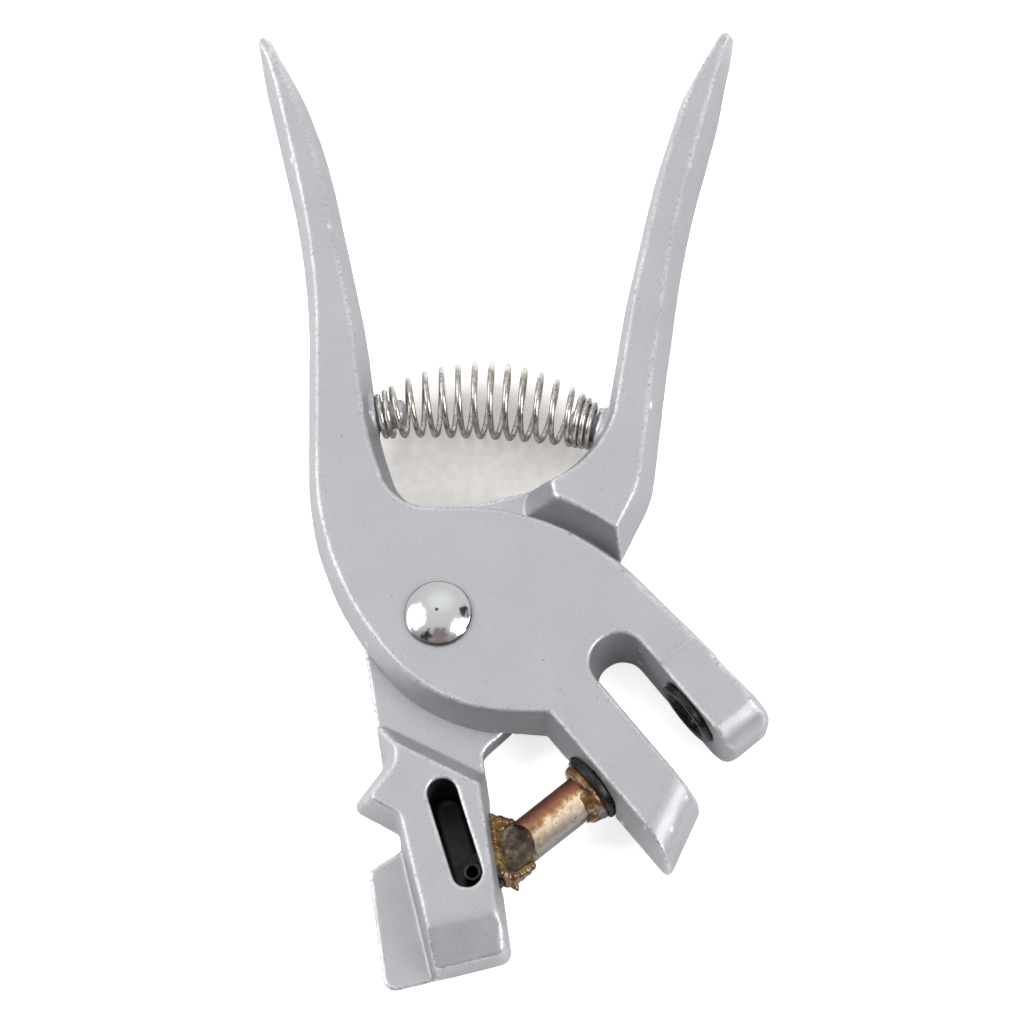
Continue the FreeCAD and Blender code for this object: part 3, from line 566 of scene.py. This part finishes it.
shader.inputs["Roughness"].default_value = 0.9
glow = add_node(tree, "ShaderNodeMath", {0: rays.outputs["Is Camera Ray"], 1: 0.72},
                operation="MULTIPLY").outputs[0]
tree.links.new(glow, shader.inputs["Emission Strength"])
floor.data.materials.append(table)

# Light tent: white behind the tool. What mirrors it sees its grey walls, the bright panels of two
# softboxes, and the darker gaps where the camera and its stand are.
world = bpy.data.worlds.new("light_tent")
bpy.context.scene.world = world
world.use_nodes = True
tree = world.node_tree
tree.nodes.clear()
direction = add_node(tree, "ShaderNodeTexCoord").outputs["Generated"]
rays = add_node(tree, "ShaderNodeLightPath")
mirror = add_node(tree, "ShaderNodeMath", {0: rays.outputs["Is Glossy Ray"],
                                           1: rays.outputs["Is Transmission Ray"]},
                  operation="MAXIMUM").outputs[0]
level = add_node(tree, "ShaderNodeSeparateXYZ", {"Vector": direction})
climb = add_node(tree, "ShaderNodeMath", {0: level.outputs["Y"], 1: 0.8, 2: level.outputs["Z"]},
                 operation="MULTIPLY_ADD").outputs[0]
climb = add_node(tree, "ShaderNodeMapRange", {"Value": climb, "From Min": -0.2, "From Max": 1.3}).outputs[0]
tent = add_node(tree, "ShaderNodeValToRGB", {"Fac": climb}, [
    (0.06, "#6A635D"), (0.28, "#ABA8A4"), (0.52, "#D2D2D1"), (0.88, "#DCDDDC"), (1.00, "#F8F9F9")]).outputs[0]
ragged = add_node(tree, "ShaderNodeTexNoise", {"Vector": direction, "Scale": 5.0,
                                               "Detail": 3.0}).outputs["Color"]
bent = add_node(tree, "ShaderNodeVectorMath", {0: ragged, 1: (0.2, 0.2, 0.2), 2: direction},
                operation="MULTIPLY_ADD").outputs[0]
bent = add_node(tree, "ShaderNodeVectorMath", {0: bent, 1: (-0.1, -0.1, -0.1)}).outputs[0]
left_panel = ((-0.78, 0.15, 0.61), 0.060, (3.0, 3.0, 3.0, 1.0))
right_panel = ((0.72, -0.25, 0.65), 0.045, (6.0, 6.0, 6.0, 1.0))
left_gap = ((-0.414, -0.576, 0.702), 0.020, to_linear("#2E2C2E"))
camera_gap = ((0.027, -0.582, 0.815), 0.034, to_linear("#8C8080"))
right_gap = ((0.778, 0.288, 0.556), 0.012, to_linear("#33383F"))
for aim, wide, colour in (left_panel, right_panel, left_gap, camera_gap, right_gap):
    near = add_node(tree, "ShaderNodeVectorMath", {0: bent, 1: aim}, operation="DOT_PRODUCT").outputs["Value"]
    mask = add_node(tree, "ShaderNodeMapRange", {"Value": near, "From Min": 1 - wide * 1.6,
                                                 "From Max": 1 - wide * 0.3},
                    interpolation_type="SMOOTHSTEP").outputs[0]
    tent = add_node(tree, "ShaderNodeMix", {0: mask, 6: tent, 7: colour}, data_type="RGBA").outputs[2]
shade = add_node(tree, "ShaderNodeMapRange", {"Value": level.outputs["Y"], "From Min": -0.6,
                                              "From Max": 0.6}).outputs[0]
ambient = add_node(tree, "ShaderNodeValToRGB", {"Fac": shade}, [(0.0, "#5A5A5A"),
                                                                (1.0, "#BEBEBE")]).outputs[0]
tone = add_node(tree, "ShaderNodeMix", {0: mirror, 6: ambient, 7: tent}, data_type="RGBA").outputs[2]
tone = add_node(tree, "ShaderNodeMix", {0: rays.outputs["Is Camera Ray"], 6: tone, 7: to_linear("#FFFFFF")},
                data_type="RGBA").outputs[2]
sky = add_node(tree, "ShaderNodeBackground", {"Color": tone, "Strength": 1.0})
add_node(tree, "ShaderNodeOutputWorld", {"Surface": sky.outputs["Background"]})

# Softboxes: a wide one at the upper left gives most of the light, the others fill. Bright metal
# mirrors the tent's panels in their place.
for name, place, width, watts in (("left_softbox", (-0.9, 0.15, 0.7), 0.7, 10.5),
                                  ("right_softbox", (0.85, -0.25, 0.68), 0.6, 7.5),
                                  ("top_softbox", (0.0, 0.7, 1.3), 0.9, 8)):
    data = bpy.data.lights.new(name, "AREA")
    data.shape = "DISK"
    data.size = width
    data.energy = watts
    lamp = bpy.data.objects.new(name, data)
    bpy.context.collection.objects.link(lamp)
    lamp.visible_glossy = False
    lamp.location = place
    lamp.rotation_euler = (-Vector(place)).to_track_quat("-Z", "Y").to_euler()

bpy.context.scene.view_settings.view_transform = "Standard"
